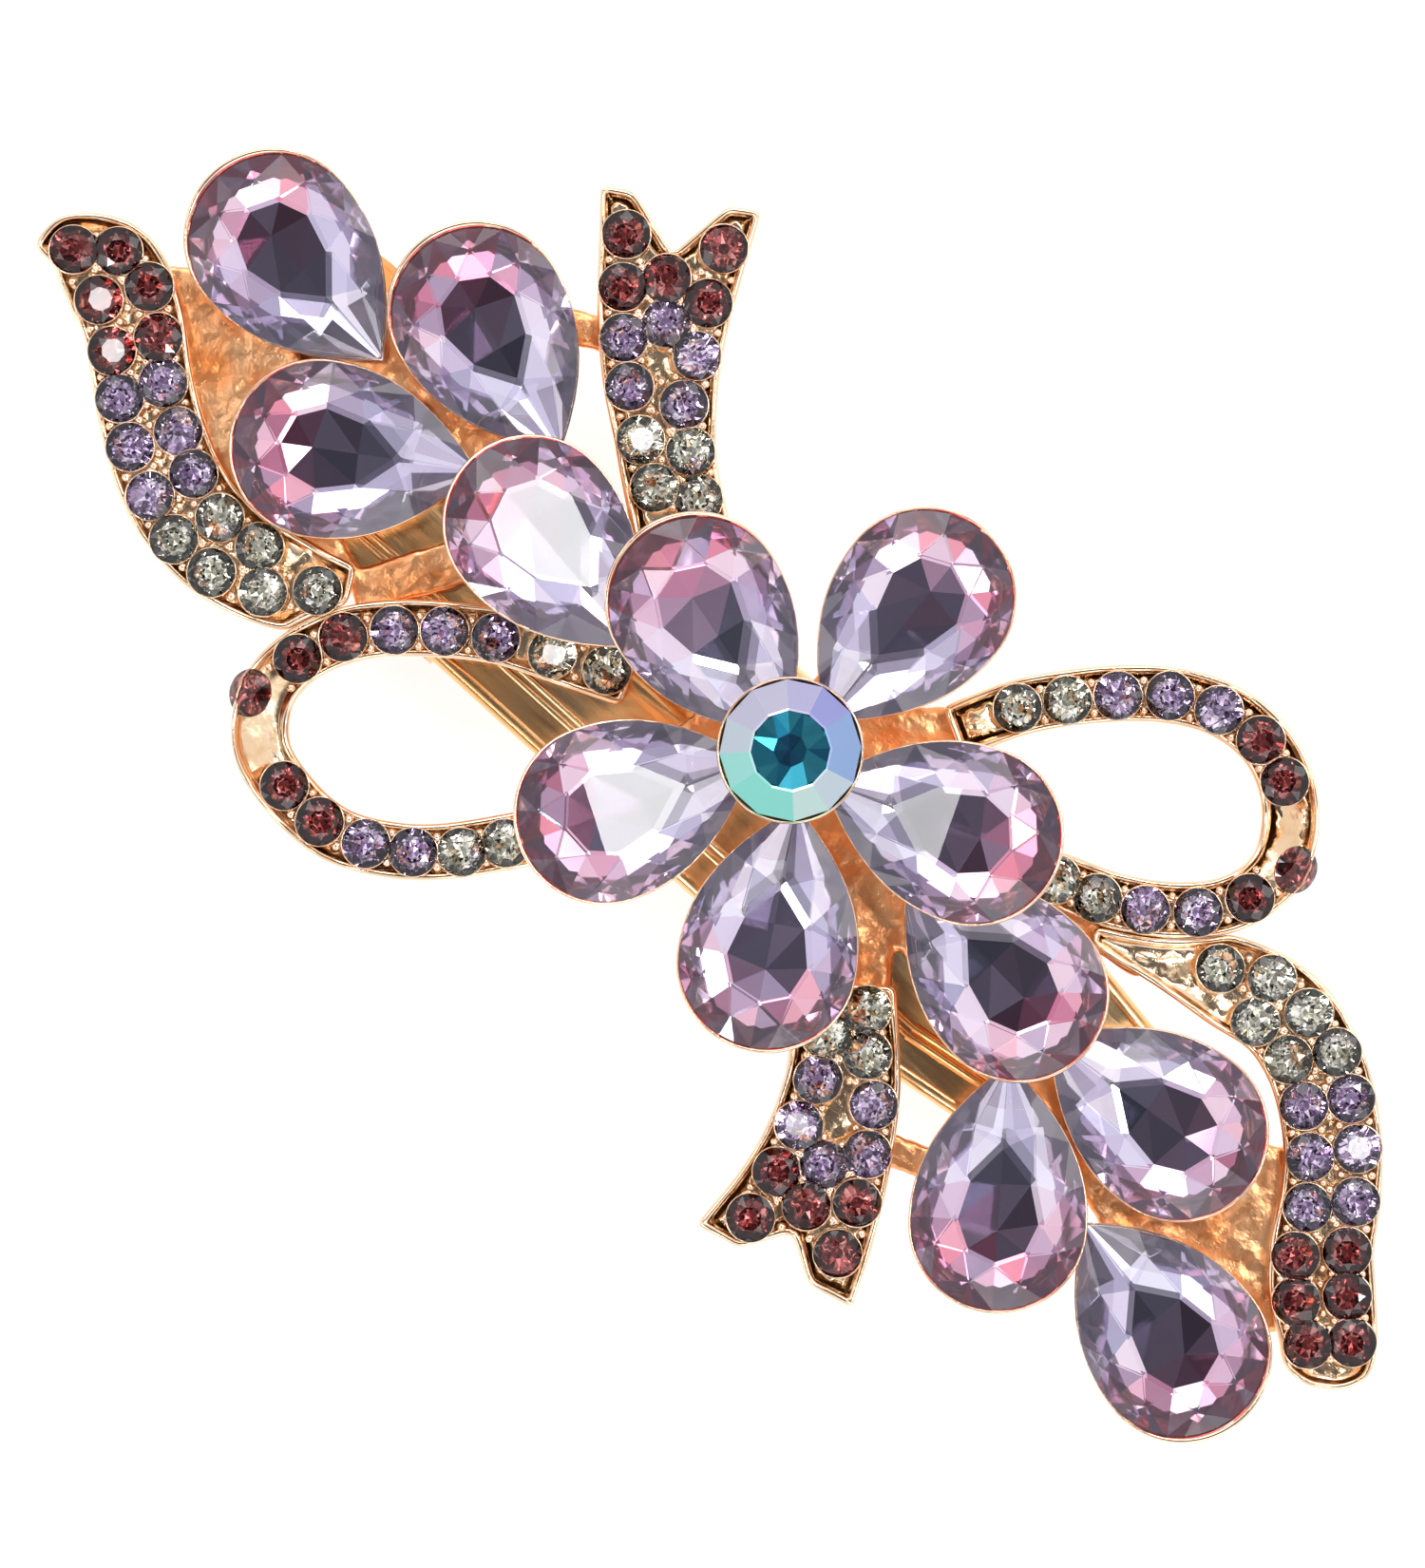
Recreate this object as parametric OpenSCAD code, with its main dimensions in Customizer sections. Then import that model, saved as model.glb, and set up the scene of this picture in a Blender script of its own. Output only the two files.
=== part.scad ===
// Spring hair clip with a cast ornament of pear crystals and pavé ribbons.
// Millimetres. X runs along the clip, Y across it, Z up from the face that the clip lies on.
// Working origin: under the middle of the flower. row_shift moves it to the middle of the outline.

/* [Clip] */
// Width of the top plate
plate_w = 13.4; // [13:0.1:14.5]
// Sheet thickness of the plate and the jaw
sheet = 0.8; // [0.6:0.1:0.9]
// Height of the top plate's upper face
plate_top = 9; // [9:0.1:10]
// Radius of the round finger pad
pad_r = 8.5; // [7:0.1:9]
// Width of the jaw
jaw_w = 11; // [10:0.1:11]
// Radius of the hinge pin
pin_r = 0.8; // [0.7:0.05:0.9]
// Play between the pin and the jaw's ears
pin_play = 0.05; // [0.02:0.01:0.09]
// Wire diameter of the torsion spring
wire_d = 0.8; // [0.6:0.05:0.9]

/* [Crystals] */
// Length of a pear crystal
pear_l = 14; // [13:0.1:14]
// Width of a pear crystal
pear_w = 10; // [9:0.1:10]
// Girdle radius of the round centre stone
centre_r = 4; // [3.5:0.1:4.2]
// Diameter of a pavé stone
pave_d = 2.5; // [2.2:0.05:2.5]

/* [Ribbons] */
// Height of a ribbon's raised rim over its floor
rim_h = 0.5; // [0.3:0.1:0.6]
// Width of a raised rim
rim_w = 0.35; // [0.25:0.05:0.35]

/* [Hidden] */
row_shift = [1.43, 0.94, 0];
clip_y = -3;
hinge_x = -20;
hinge_z = 5;
pad_x = -36;
plate_rear = -42.7;
plate_front = 39;
flange_end = 30;
flange_start = -26;
flange_drop = 2.6;
ear_reach = 2.2;
ear_gap = 0.2;
taper_x = 16;
taper = 0.155;
rib_h = 0.4;
rail_y = 4.2;
rail_w = 1.2;
rail_h = 0.3;
flat_start = -12;
flat_end = 8;
jaw_tip = 38;
jaw_rear = -44.5;
lever_z = 1.6;
eps = 0.02;
coil_r = 1.5;
coil_turns = 4;
coil_pitch = 0.95;
coil_y = -2.2;
leg_x = -10;
crown_h = 1.3;
girdle_h = 0.4;
pavilion_h = 0.95;
table_share = 0.55;
back_share = 0.4;
cup_depth = 1.35;
cup_floor = 0.35;
cup_tip = 4.4;
cup_post_r = 1.3;
cup_post_in = 0.05;
centre_rise = 8.3;
centre_post = [1.15, -0.3];
centre_post_r = 0.9;
centre_cup_h = 1.25;
culet_share = 0.6;
pave_pavilion = 0.75;
pave_girdle = 0.15;
pave_crown = 0.45;
rib_foot = 1.25;
rib_crest = 0.5;
rib_inset = 4;
tooth_r = 0.45;
tooth_tip_r = 0.15;
tooth_h = 1.3;
tooth_from = 12;
tooth_to = 26.5;
tooth_step = 2.4;
mouth_gap = 0.03;
ear_foot = lever_z + 0.2;
pin_head = 0.5;
stem_foot_r = 2;
notch_ahead = 3;
notch_spread = 5.2;
tail_1_notch = 3.2;
tail_2_notch = 2.2;
centre_back = 0.9;
cup_bore_share = 0.89;

plate_bottom = plate_top - sheet;
stem_bottom = plate_top + rib_h;
stem_top = stem_bottom + 1;
ribbon_floor = stem_top + 0.8;
centre_z = stem_top + centre_rise;
inner_wall = plate_w / 2 - sheet;
tip_r = plate_half(plate_front) * 1.12;
jaw_play = 0.4;
jaw_ear_out = inner_wall - ear_gap;

// Pear crystals: name, middle x and y, bearing of the tip, girdle height over the stem,
// and the angle that the wide end is raised by.
CRYSTALS = [
    ["petal_a", [-7.5, 2.1], -13, 6.2, 12],
    ["petal_b", [0, 9.5], -86, 6.5, 9],
    ["petal_c", [9, 2.6], -157, 6.5, 9],
    ["petal_d", [6, -8], 122, 6.5, 9],
    ["petal_e", [-4.4, -7.9], 63, 6.5, 9],
    ["trail_1", [-39.1, 1.6], -5, 2, 4],
    ["trail_2", [-27.8, 5.9], -16, 2.2, 5],
    ["trail_3", [-29.7, -4.1], 35, 2.2, 5],
    ["trail_4", [-17.4, -0.6], -7, 3.8, 6],
    ["trail_5", [16.8, -1.3], 177, 4, 5],
    ["trail_6", [25.6, -10.3], 129, 2.4, 6],
    ["trail_7", [29, -1.4], 187, 2.2, 6],
    ["trail_8", [37.4, -9.9], 170, 2, 4]
];

// Shades of the pavé stones, from a ribbon's free end to its root.
SHADES = ["burgundy", "amethyst", "smoke"];
SHADE_RGB = [[0.35, 0.08, 0.12], [0.42, 0.32, 0.62], [0.62, 0.62, 0.58]];

// Pavé stones of each ribbon: middle x and y, shade. The first stones lie at the free end.
PAVE = [
    ["leaf_1", [
        [-49.45, -6.35, 0], [-47.48, -4.69, 0], [-44.83, -5.00, 0], [-46.46, -7.49, 0],
        [-42.52, -6.76, 0], [-43.94, -9.15, 0], [-41.78, -10.87, 1], [-40.54, -8.53, 1],
        [-38.05, -9.99, 1], [-39.49, -12.51, 1], [-35.77, -11.21, 1], [-36.77, -13.80, 1],
        [-32.98, -12.03, 2], [-34.10, -14.71, 2], [-30.17, -11.75, 2], [-31.23, -14.67, 2],
        [-28.31, -13.54, 2], [-26.06, -11.36, 2]
    ]],
    ["leaf_2", [
        [26.56, 7.36, 2], [29.16, 8.92, 2], [32.02, 8.90, 2], [30.09, 6.46, 2], [32.93, 6.14, 2],
        [34.70, 8.32, 2], [35.37, 4.77, 1], [37.06, 6.90, 1], [37.59, 2.85, 1], [39.28, 5.05, 1],
        [39.40, 0.63, 1], [41.22, 2.72, 1], [40.77, -1.89, 0], [42.78, 0.29, 0], [42.53, -3.77, 0],
        [44.51, -1.61, 0], [44.68, -5.16, 0], [46.48, -3.36, 0]
    ]],
    ["tail_1", [
        [-26.70, 15.53, 0], [-22.04, 18.68, 0], [-24.82, 13.17, 0], [-23.32, 15.24, 0],
        [-20.59, 15.77, 0], [-22.83, 11.07, 1], [-21.61, 13.32, 1], [-19.04, 13.13, 1],
        [-20.72, 9.22, 1], [-17.72, 10.55, 1], [-18.22, 7.40, 2], [-15.65, 8.85, 2], [-15.77, 5.91, 2],
        [-13.50, 7.14, 2]
    ]],
    ["tail_2", [
        [13.25, -7.95, 2], [12.46, -10.60, 2], [15.01, -9.83, 2], [13.84, -12.76, 1],
        [17.17, -11.70, 1], [14.77, -15.43, 1], [17.34, -16.15, 1], [18.80, -14.04, 1],
        [15.63, -18.22, 0], [18.24, -18.56, 0], [20.24, -16.48, 0], [16.30, -21.20, 0],
        [21.36, -19.37, 0]
    ]],
    ["loop_1", [
        [-10.80, -3.60, 2], [-13.71, -5.02, 2], [-16.72, -6.51, 1], [-19.14, -8.20, 1],
        [-21.30, -10.09, 1], [-23.20, -12.34, 0], [-24.28, -15.00, 0], [-24.34, -17.91, 0],
        [-19.96, -20.87, 0], [-17.10, -21.03, 0], [-14.31, -20.18, 1], [-11.98, -18.72, 1],
        [-9.95, -16.88, 2], [-8.42, -14.81, 2]
    ]],
    ["loop_2", [
        [8.00, 10.57, 2], [9.81, 12.82, 2], [11.76, 14.95, 1], [13.96, 16.94, 1], [16.59, 18.22, 1],
        [19.51, 18.56, 0], [22.09, 17.72, 0], [25.27, 14.26, 0], [25.11, 11.47, 0], [23.47, 8.89, 1],
        [21.14, 6.96, 1], [18.68, 5.61, 2], [16.23, 4.82, 2]
    ]]
];

// Ribbons: name, centreline, half widths along it.
LEAF_1_LINE = [[-51.3, -7.6], [-49.9, -6.4], [-47.2, -5.9], [-44.4, -7], [-41.5, -9.3],
    [-38.4, -11.4], [-35, -12.9], [-31.2, -13.2], [-27.6, -12.2], [-24.4, -10.6]];
LEAF_1_HALF = [0.3, 2, 3.1, 2.95, 2.9, 3, 3.1, 3, 2.75, 2];
LEAF_2_LINE = [[47.15, -6.4], [46.8, -5.9], [46.3, -5.2], [45.3, -4], [43.4, -2.4], [41.7, -0.6],
    [40.1, 1.9], [38.2, 4.2], [36, 6], [33.6, 7.3], [30.8, 7.9], [27.6, 7.2], [24.5, 6.1], [22, 4.9],
    [19.9, 3.8]];
LEAF_2_HALF = [0.9, 2.05, 2.65, 2.85, 3.1, 3, 2.9, 2.85, 2.85, 2.85, 2.85, 2.7, 2, 1.25, 0.6];
TAIL_1_LINE = [[-25.8, 19.2], [-23.7, 16], [-21.9, 13.4], [-19.8, 10.9], [-17.4, 8.6], [-15.4, 6.9],
    [-12.6, 4.9]];
TAIL_1_HALF = [4.7, 4.2, 3.8, 3.4, 2.95, 2.8, 2.8];
TAIL_2_LINE = [[19.2, -22.4], [18.3, -18.9], [17, -15.5], [15.3, -12.4], [13.4, -10], [11.4, -7.6]];
TAIL_2_HALF = [5.1, 4.4, 3.8, 3.4, 3.1, 2.8];
LOOP_1_LINE = [[-9.4, -3.1], [-13.6, -4.9], [-16.8, -6.4], [-19.8, -8.6], [-22.5, -11.2], [-24.2, -14.4],
    [-24.3, -17.6], [-22.4, -20.2], [-19.4, -21.1], [-16, -21], [-13, -19.5], [-10.4, -17.2], [-6.8, -12.6]];
LOOP_2_LINE = [[6.2, 7], [8, 10.6], [10.4, 13.7], [13.4, 16.6], [16.7, 18.4], [20.2, 18.6], [23.3, 17],
    [25.2, 13.9], [24.6, 10.6], [22.2, 7.9], [19.2, 6], [16.2, 4.8], [13.4, 3.4]];
LOOP_HALF = 1.62;

function unit(v) = v / norm(v);
function left(v) = [-v[1], v[0]];

// Catmull-Rom point at u along a list of points.
function along(p, u) =
    let (n = len(p), i = min(floor(u), n - 2), t = u - i,
         a = i > 0 ? p[i - 1] : 2 * p[0] - p[1], b = p[i], c = p[i + 1],
         d = i < n - 2 ? p[i + 2] : 2 * p[n - 1] - p[n - 2])
    0.5 * (2 * b + (c - a) * t + (2 * a - 5 * b + 4 * c - d) * t * t
        + (3 * b - a - 3 * c + d) * t * t * t);

function samples(p, k) = [for (i = [0 : k * (len(p) - 1)]) along(p, i / k)];
function side_dir(p, u) = left(unit(along(p, min(u + 0.05, len(p) - 1)) - along(p, max(u - 0.05, 0))));
function edge(p, half, side, inset, k) =
    [for (i = [0 : k * (len(p) - 1)])
        let (u = i / k, h = is_list(half) ? along(half, u) : half)
        along(p, u) + side * max(h - inset, 0.1) * side_dir(p, u)];
function backwards(v) = [for (i = [len(v) - 1 : -1 : 0]) v[i]];
function strip_points(p, half, inset = 0, k = 6) =
    concat(edge(p, half, 1, inset, k), backwards(edge(p, half, -1, inset, k)));

// Outline of a pear, tip towards +X, middle of its length at the origin.
function pear_points(l, w, k) = let (r = w / 2, side_l = l - r, x0 = r - l / 2)
    concat(
        [for (i = [0 : 7]) [x0 + r * cos(90 + i * 22.5), r * sin(90 + i * 22.5)] * k],
        [for (i = [0 : 6]) let (u = i / 7) [x0 + side_l * u, -r * (1 - pow(u, 2.2))] * k],
        [[l / 2, 0] * k],
        [for (i = [6 : -1 : 1]) let (u = i / 7) [x0 + side_l * u, r * (1 - pow(u, 2.2))] * k]
    );

// Solid through level outlines of equal point count: layers are [height, points].
module loft(layers) {
    n = len(layers[0][1]);
    m = len(layers);
    points = [for (l = layers) for (p = l[1]) [p[0], p[1], l[0]]];
    walls = [for (j = [0 : m - 2]) for (i = [0 : n - 1])
        [j * n + i, (j + 1) * n + i, (j + 1) * n + (i + 1) % n, j * n + (i + 1) % n]];
    bottom = [for (i = [0 : n - 1]) i];
    top = [for (i = [n - 1 : -1 : 0]) (m - 1) * n + i];
    polyhedron(points, concat([bottom], walls, [top]), convexity = 4);
}

// Tube of wire along a path, with eight sides.
module wire(path, r) {
    n = len(path);
    rings = [for (i = [0 : n - 1])
        let (t = unit(path[min(i + 1, n - 1)] - path[max(i - 1, 0)]),
             a = unit(cross(t, abs(t[1]) < 0.9 ? [0, 1, 0] : [1, 0, 0])), b = cross(t, a))
        for (j = [0 : 7]) path[i] + r * (cos(j * 45) * a + sin(j * 45) * b)];
    walls = [for (i = [0 : n - 2]) for (j = [0 : 7])
        [i * 8 + j, i * 8 + (j + 1) % 8, (i + 1) * 8 + (j + 1) % 8, (i + 1) * 8 + j]];
    polyhedron(rings, concat([[for (j = [7 : -1 : 0]) j]], walls,
        [[for (j = [0 : 7]) (n - 1) * 8 + j]]), convexity = 6);
}

module bar(p, q, w, h) {
    d = q - p;
    translate([p[0], p[1], 0]) rotate(atan2(d[1], d[0])) translate([0, -w / 2, 0])
        cube([norm(d), w, h]);
}

// ---- Clip ----

// Half width of the plate, which tapers towards the mouth.
function plate_half(x) = plate_w / 2 - (x < taper_x ? 0 : (x - taper_x) * taper);

module plate_plan(x1, x2, inset) {
    polygon([[x1, inset - plate_half(x1)], [min(taper_x, x2), inset - plate_half(taper_x)],
        [x2, inset - plate_half(x2)], [x2, plate_half(x2) - inset],
        [min(taper_x, x2), plate_half(taper_x) - inset], [x1, plate_half(x1) - inset]]);
}

module cross_hole(r, l) {
    translate([hinge_x, l / 2, hinge_z]) rotate([90, 0, 0]) cylinder(r = r, h = l, $fn = 48);
}

module clip_top_plate() {
    half = plate_w / 2;
    color("goldenrod") translate([0, clip_y, 0]) difference() {
        union() {
            translate([0, 0, plate_bottom]) linear_extrude(sheet) {
                translate([plate_rear + half, 0]) circle(half, $fn = 64);
                plate_plan(plate_rear + half, plate_front - tip_r, 0);
                translate([plate_front - tip_r, 0]) circle(tip_r, $fn = 64);
            }
            translate([0, 0, plate_top - flange_drop]) linear_extrude(flange_drop - sheet / 2) difference() {
                plate_plan(flange_start, flange_end, 0);
                plate_plan(flange_start - 1, flange_end + 1, sheet);
            }
            for (s = [-1, 1]) {
                translate([hinge_x, s > 0 ? half : -inner_wall, hinge_z]) rotate([90, 0, 0])
                    cylinder(r = ear_reach, h = sheet, $fn = 48);
                translate([hinge_x - ear_reach, s > 0 ? inner_wall : -half, hinge_z])
                    cube([2 * ear_reach, sheet, plate_bottom - hinge_z + eps]);
                translate([plate_rear + half, s * rail_y - rail_w / 2, plate_bottom + eps])
                    cube([taper_x - plate_rear - half, rail_w, sheet + rail_h]);
            }
            translate([plate_rear + rib_inset, 0, plate_top - eps]) rotate([90, 0, 90])
                linear_extrude(plate_front - plate_rear - 2 * rib_inset)
                    polygon([[-rib_foot, 0], [rib_foot, 0],
                        [rib_crest, rib_h + eps], [-rib_crest, rib_h + eps]]);
        }
        cross_hole(pin_r, plate_w + 2);
    }
}

function ease(t) = 3 * t * t - 2 * t * t * t;
function jaw_under(x) =
    x < hinge_x ? lever_z * ease((x - jaw_rear) / (hinge_x - jaw_rear))
    : x < flat_start ? lever_z * (1 - ease((x - hinge_x) / (flat_start - hinge_x)))
    : x < flat_end ? 0
    : (plate_bottom - sheet - mouth_gap) * ease((x - flat_end) / (jaw_tip - flat_end));
JAW_X = concat([jaw_rear], [for (x = [-43 : 1.5 : -20.5]) x], [hinge_x, -18, -16, -14, flat_start, flat_end],
    [for (x = [flat_end + 2 : 2 : jaw_tip]) x]);

module jaw_profile() {
    under = [for (x = JAW_X) [x, jaw_under(x)]];
    over = [for (x = backwards(JAW_X)) [x, jaw_under(x) + sheet]];
    polygon(concat(under, over));
}

module jaw_plan() {
    translate([pad_x, 0]) circle(pad_r, $fn = 96);
    translate([pad_x, -jaw_w / 2]) square([hinge_x - pad_x, jaw_w]);
    translate([hinge_x - ear_reach, -jaw_ear_out]) square([2 * ear_reach, 2 * jaw_ear_out]);
    intersection() {
        plate_plan(hinge_x, jaw_tip, sheet + jaw_play);
        translate([hinge_x, -jaw_w / 2]) square([jaw_tip - hinge_x, jaw_w]);
    }
}

function jaw_half(x) = min(jaw_w / 2, plate_half(x) - sheet - jaw_play);

module clip_jaw() {
    ear_r = ear_reach - 0.3;
    color("darkgoldenrod") translate([0, clip_y, 0]) difference() {
        union() {
            intersection() {
                rotate([90, 0, 0]) translate([0, 0, -20]) linear_extrude(40) jaw_profile();
                translate([0, 0, -1]) linear_extrude(14) jaw_plan();
            }
            for (s = [-1, 1]) {
                translate([hinge_x, s > 0 ? jaw_ear_out : sheet - jaw_ear_out, hinge_z])
                    rotate([90, 0, 0]) cylinder(r = ear_r, h = sheet, $fn = 48);
                translate([hinge_x - ear_r, s > 0 ? jaw_ear_out - sheet : -jaw_ear_out, ear_foot])
                    cube([2 * ear_r, sheet, hinge_z - ear_foot]);
                for (x = [tooth_from : tooth_step : tooth_to])
                    translate([x, s * (jaw_half(x) - tooth_r), jaw_under(x) + sheet - 0.3])
                        cylinder(r1 = tooth_r, r2 = tooth_tip_r, h = tooth_h, $fn = 24);
            }
        }
        cross_hole(pin_r + pin_play, plate_w + 2);
    }
}

module hinge_pin() {
    shank = plate_w + 0.6;
    color("gold") translate([hinge_x, clip_y, hinge_z]) rotate([90, 0, 0]) union() {
        cylinder(r = pin_r, h = shank, center = true, $fn = 48);
        for (s = [-1, 1]) translate([0, 0, s * (plate_w + pin_head) / 2])
            cylinder(r = pin_r + pin_head, h = pin_head, center = true, $fn = 48);
    }
}

module torsion_spring() {
    leg_top = plate_bottom - wire_d / 2 - hinge_z - 0.02;
    coil = [for (i = [0 : 12 * coil_turns])
        let (a = 90 - i * 30) [coil_r * cos(a), coil_y + coil_pitch * i / 12, coil_r * sin(a)]];
    color("silver") translate([hinge_x, clip_y, hinge_z])
        wire(concat([[leg_x, coil_y - 0.2, leg_top], [-1.5, coil_y - 0.1, coil_r + 0.2]], coil), wire_d / 2);
}

module spring_leg() {
    y = coil_y + coil_pitch * coil_turns + wire_d + 0.15;
    tip_z = jaw_under(hinge_x + leg_x) + sheet + wire_d / 2 - hinge_z + 0.05;
    arc = [for (i = [0 : 6]) let (a = 90 - i * 30) [coil_r * cos(a), y, coil_r * sin(a)]];
    color("silver") translate([hinge_x, clip_y, hinge_z])
        wire(concat(arc, [[-1.5, y, -coil_r - 0.1], [leg_x, y, tip_z]]), wire_d / 2);
}

// ---- Ornament casting ----

STEM_BARS = [
    [[-41, 1.5], [-29, 0.5], 4], [[-29, 0.5], [-8, 1], 4.4], [[-8, 1], [10, -1.5], 5],
    [[10, -1.5], [27, -4.5], 4.4], [[27, -4.5], [39, -8.5], 4], [[-28, 0], [-28.6, 6.5], 3],
    [[-28, -1], [-30.2, -5], 3], [[27, -4], [26, -11.5], 3], [[26, -4], [30.6, -1], 3],
    [[-8, 1], [-14.2, 5], 3], [[0, 0], [0, 10.5], 3.4], [[6, -1], [6.4, -8.8], 3.4],
    [[-3, 0], [-5.6, -9.6], 3.4], [[6, 0], [10.8, 3.2], 3.4], [[0, 1], [7, 7.8], 3],
    [[10.8, 3.2], [23.4, 5.3], 3], [[-24.6, -10.2], [-19, -1], 2.6], [[-12, 0.5], [-11.4, -3.9], 3],
    [[-5.6, -9.6], [-8, -13.8], 2.6], [[9, -3], [13.4, -8.6], 3],
    [[-30, 7], [-23.4, 10.8], 2], [[25, -11], [18.9, -13.3], 1.8]
];
WEB_1 = [[-46, -4.2], [-42, -1], [-38, 0], [-33, -5], [-29, -7.5], [-25, -9], [-26.5, -11.5], [-32, -11.4],
    [-37, -9.8], [-41, -7]];
WEB_2 = [[33.4, -4], [34, 0.5], [36.4, 2.4], [40, -1], [44.2, -4.5], [41, -8.2], [36, -8]];

module stem() {
    color("sandybrown") translate([0, 0, stem_bottom]) union() {
        for (b = STEM_BARS) bar(b[0], b[1], b[2], stem_top - stem_bottom);
        for (c = CRYSTALS) translate([c[1][0], c[1][1], 0])
            cylinder(r = stem_foot_r, h = stem_top - stem_bottom, $fn = 32);
        for (w = [WEB_1, WEB_2]) linear_extrude(stem_top - stem_bottom) polygon(w);
    }
}

// ---- Ribbons ----

module ribbon(line, half) {
    color("peachpuff") translate([0, 0, stem_top]) difference() {
        linear_extrude(ribbon_floor - stem_top + rim_h) difference() {
            polygon(strip_points(line, half));
            children();
        }
        translate([0, 0, ribbon_floor - stem_top]) linear_extrude(rim_h + 1) difference() {
            polygon(strip_points(line, half, rim_w));
            offset_notch() children();
        }
    }
}

// The notch of a swallowtail, grown by a rim's width along the ribbon.
module offset_notch() {
    for (a = [0 : 45 : 315]) translate(rim_w * [cos(a), sin(a)]) children();
}

module notch(line, depth) {
    d = unit(along(line, 0.1) - line[0]);
    s = left(d);
    back = line[0] - d * notch_ahead;
    polygon([line[0] + d * depth, back + s * notch_spread, back - s * notch_spread]);
}

// A leaf stops at the loop that it is soldered against.
module beside_loop(loop) {
    difference() {
        children();
        translate([0, 0, stem_top - 1]) linear_extrude(4) polygon(strip_points(loop, LOOP_HALF + eps));
    }
}

module ribbon_leaf_1() { beside_loop(LOOP_1_LINE) ribbon(LEAF_1_LINE, LEAF_1_HALF); }
module ribbon_leaf_2() { beside_loop(LOOP_2_LINE) ribbon(LEAF_2_LINE, LEAF_2_HALF); }
module ribbon_tail_1() { ribbon(TAIL_1_LINE, TAIL_1_HALF) notch(TAIL_1_LINE, tail_1_notch); }
module ribbon_tail_2() { ribbon(TAIL_2_LINE, TAIL_2_HALF) notch(TAIL_2_LINE, tail_2_notch); }
module ribbon_loop_1() { ribbon(LOOP_1_LINE, LOOP_HALF); }
module ribbon_loop_2() { ribbon(LOOP_2_LINE, LOOP_HALF); }

// ---- Pavé stones ----

module pave_stone(p) {
    r = pave_d / 2;
    translate([p[0], p[1], ribbon_floor]) {
        cylinder(r1 = r * culet_share, r2 = r, h = pave_pavilion, $fn = 24);
        translate([0, 0, pave_pavilion]) cylinder(r = r, h = pave_girdle, $fn = 24);
        translate([0, 0, pave_pavilion + pave_girdle])
            cylinder(r1 = r, r2 = r * culet_share, h = pave_crown, $fn = 24);
    }
}

module pave(stones, shade) {
    color(SHADE_RGB[shade])
        for (stone = stones)
            if (stone[2] == shade) pave_stone(stone);
}

// ---- Pear crystals in their cups ----

module set_at(c) {
    translate([c[1][0], c[1][1], stem_top + c[3]]) rotate([0, 0, c[2]]) rotate([0, c[4], 0]) children();
}

module pear_crystal(c) {
    g = girdle_h / 2;
    color([0.72, 0.62, 0.86]) set_at(c) loft([
        [-g - pavilion_h, pear_points(pear_l, pear_w, back_share)],
        [-g, pear_points(pear_l, pear_w, 0.87)],
        [-g + 0.001, pear_points(pear_l, pear_w, 1)],
        [g, pear_points(pear_l, pear_w, 1)],
        [g + crown_h * 0.6, pear_points(pear_l, pear_w, 0.8)],
        [g + crown_h, pear_points(pear_l, pear_w, table_share)]
    ]);
}

module pear_cup(c) {
    g = girdle_h / 2;
    color("tan") union() {
        set_at(c) difference() {
            translate([0, 0, -g - cup_depth]) linear_extrude(cup_depth) intersection() {
                polygon(pear_points(pear_l, pear_w, 0.97));
                translate([-pear_l, -pear_w]) square([pear_l + cup_tip, 2 * pear_w]);
            }
            translate([0, 0, -g - cup_depth + cup_floor]) linear_extrude(cup_depth)
                polygon(pear_points(pear_l, pear_w, cup_bore_share));
        }
        translate([c[1][0], c[1][1], stem_top])
            cylinder(r = cup_post_r, h = c[3] - g - cup_depth + cup_post_in, $fn = 32);
    }
}

module centre_crystal() {
    g = girdle_h / 2;
    color([0.55, 0.8, 0.85]) translate([0, 0, centre_z]) {
        translate([0, 0, -g - centre_back])
            cylinder(r1 = centre_r * 0.35, r2 = centre_r * 0.85, h = centre_back, $fn = 48);
        translate([0, 0, -g]) cylinder(r = centre_r, h = girdle_h, $fn = 48);
        translate([0, 0, g]) cylinder(r1 = centre_r, r2 = centre_r * 0.6, h = crown_h, $fn = 48);
    }
}

module centre_cup() {
    g = girdle_h / 2;
    color("tan") difference() {
        union() {
            translate([0, 0, centre_z - g - centre_cup_h])
                cylinder(r = centre_r * 0.97, h = centre_cup_h, $fn = 48);
            translate([centre_post[0], centre_post[1], stem_top])
                cylinder(r = centre_post_r, h = centre_rise - centre_cup_h - cup_post_in, $fn = 32);
        }
        translate([0, 0, centre_z - g - pavilion_h]) cylinder(r = centre_r * 0.88, h = 3, $fn = 48);
    }
}

module in_row() { translate(row_shift) children(); }

in_row() clip_top_plate();
in_row() clip_jaw();
in_row() hinge_pin();
in_row() torsion_spring();
in_row() spring_leg();
in_row() stem();
in_row() ribbon_leaf_1();
in_row() ribbon_leaf_2();
in_row() ribbon_tail_1();
in_row() ribbon_tail_2();
in_row() ribbon_loop_1();
in_row() ribbon_loop_2();
in_row() centre_crystal();
in_row() centre_cup();
for (c = CRYSTALS) {
    in_row() pear_crystal(c);
    in_row() pear_cup(c);
}
for (p = PAVE)
    for (i = [0 : len(SHADES) - 1])
        in_row() pave(p[1], i);
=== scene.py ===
"""Looks of the rhinestone hair clip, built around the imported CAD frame. Metres, row frame, +Z up."""

import math
import random

import bmesh
import bpy
import numpy as np
from mathutils import Matrix, Vector
from mathutils.geometry import delaunay_2d_cdt

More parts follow.
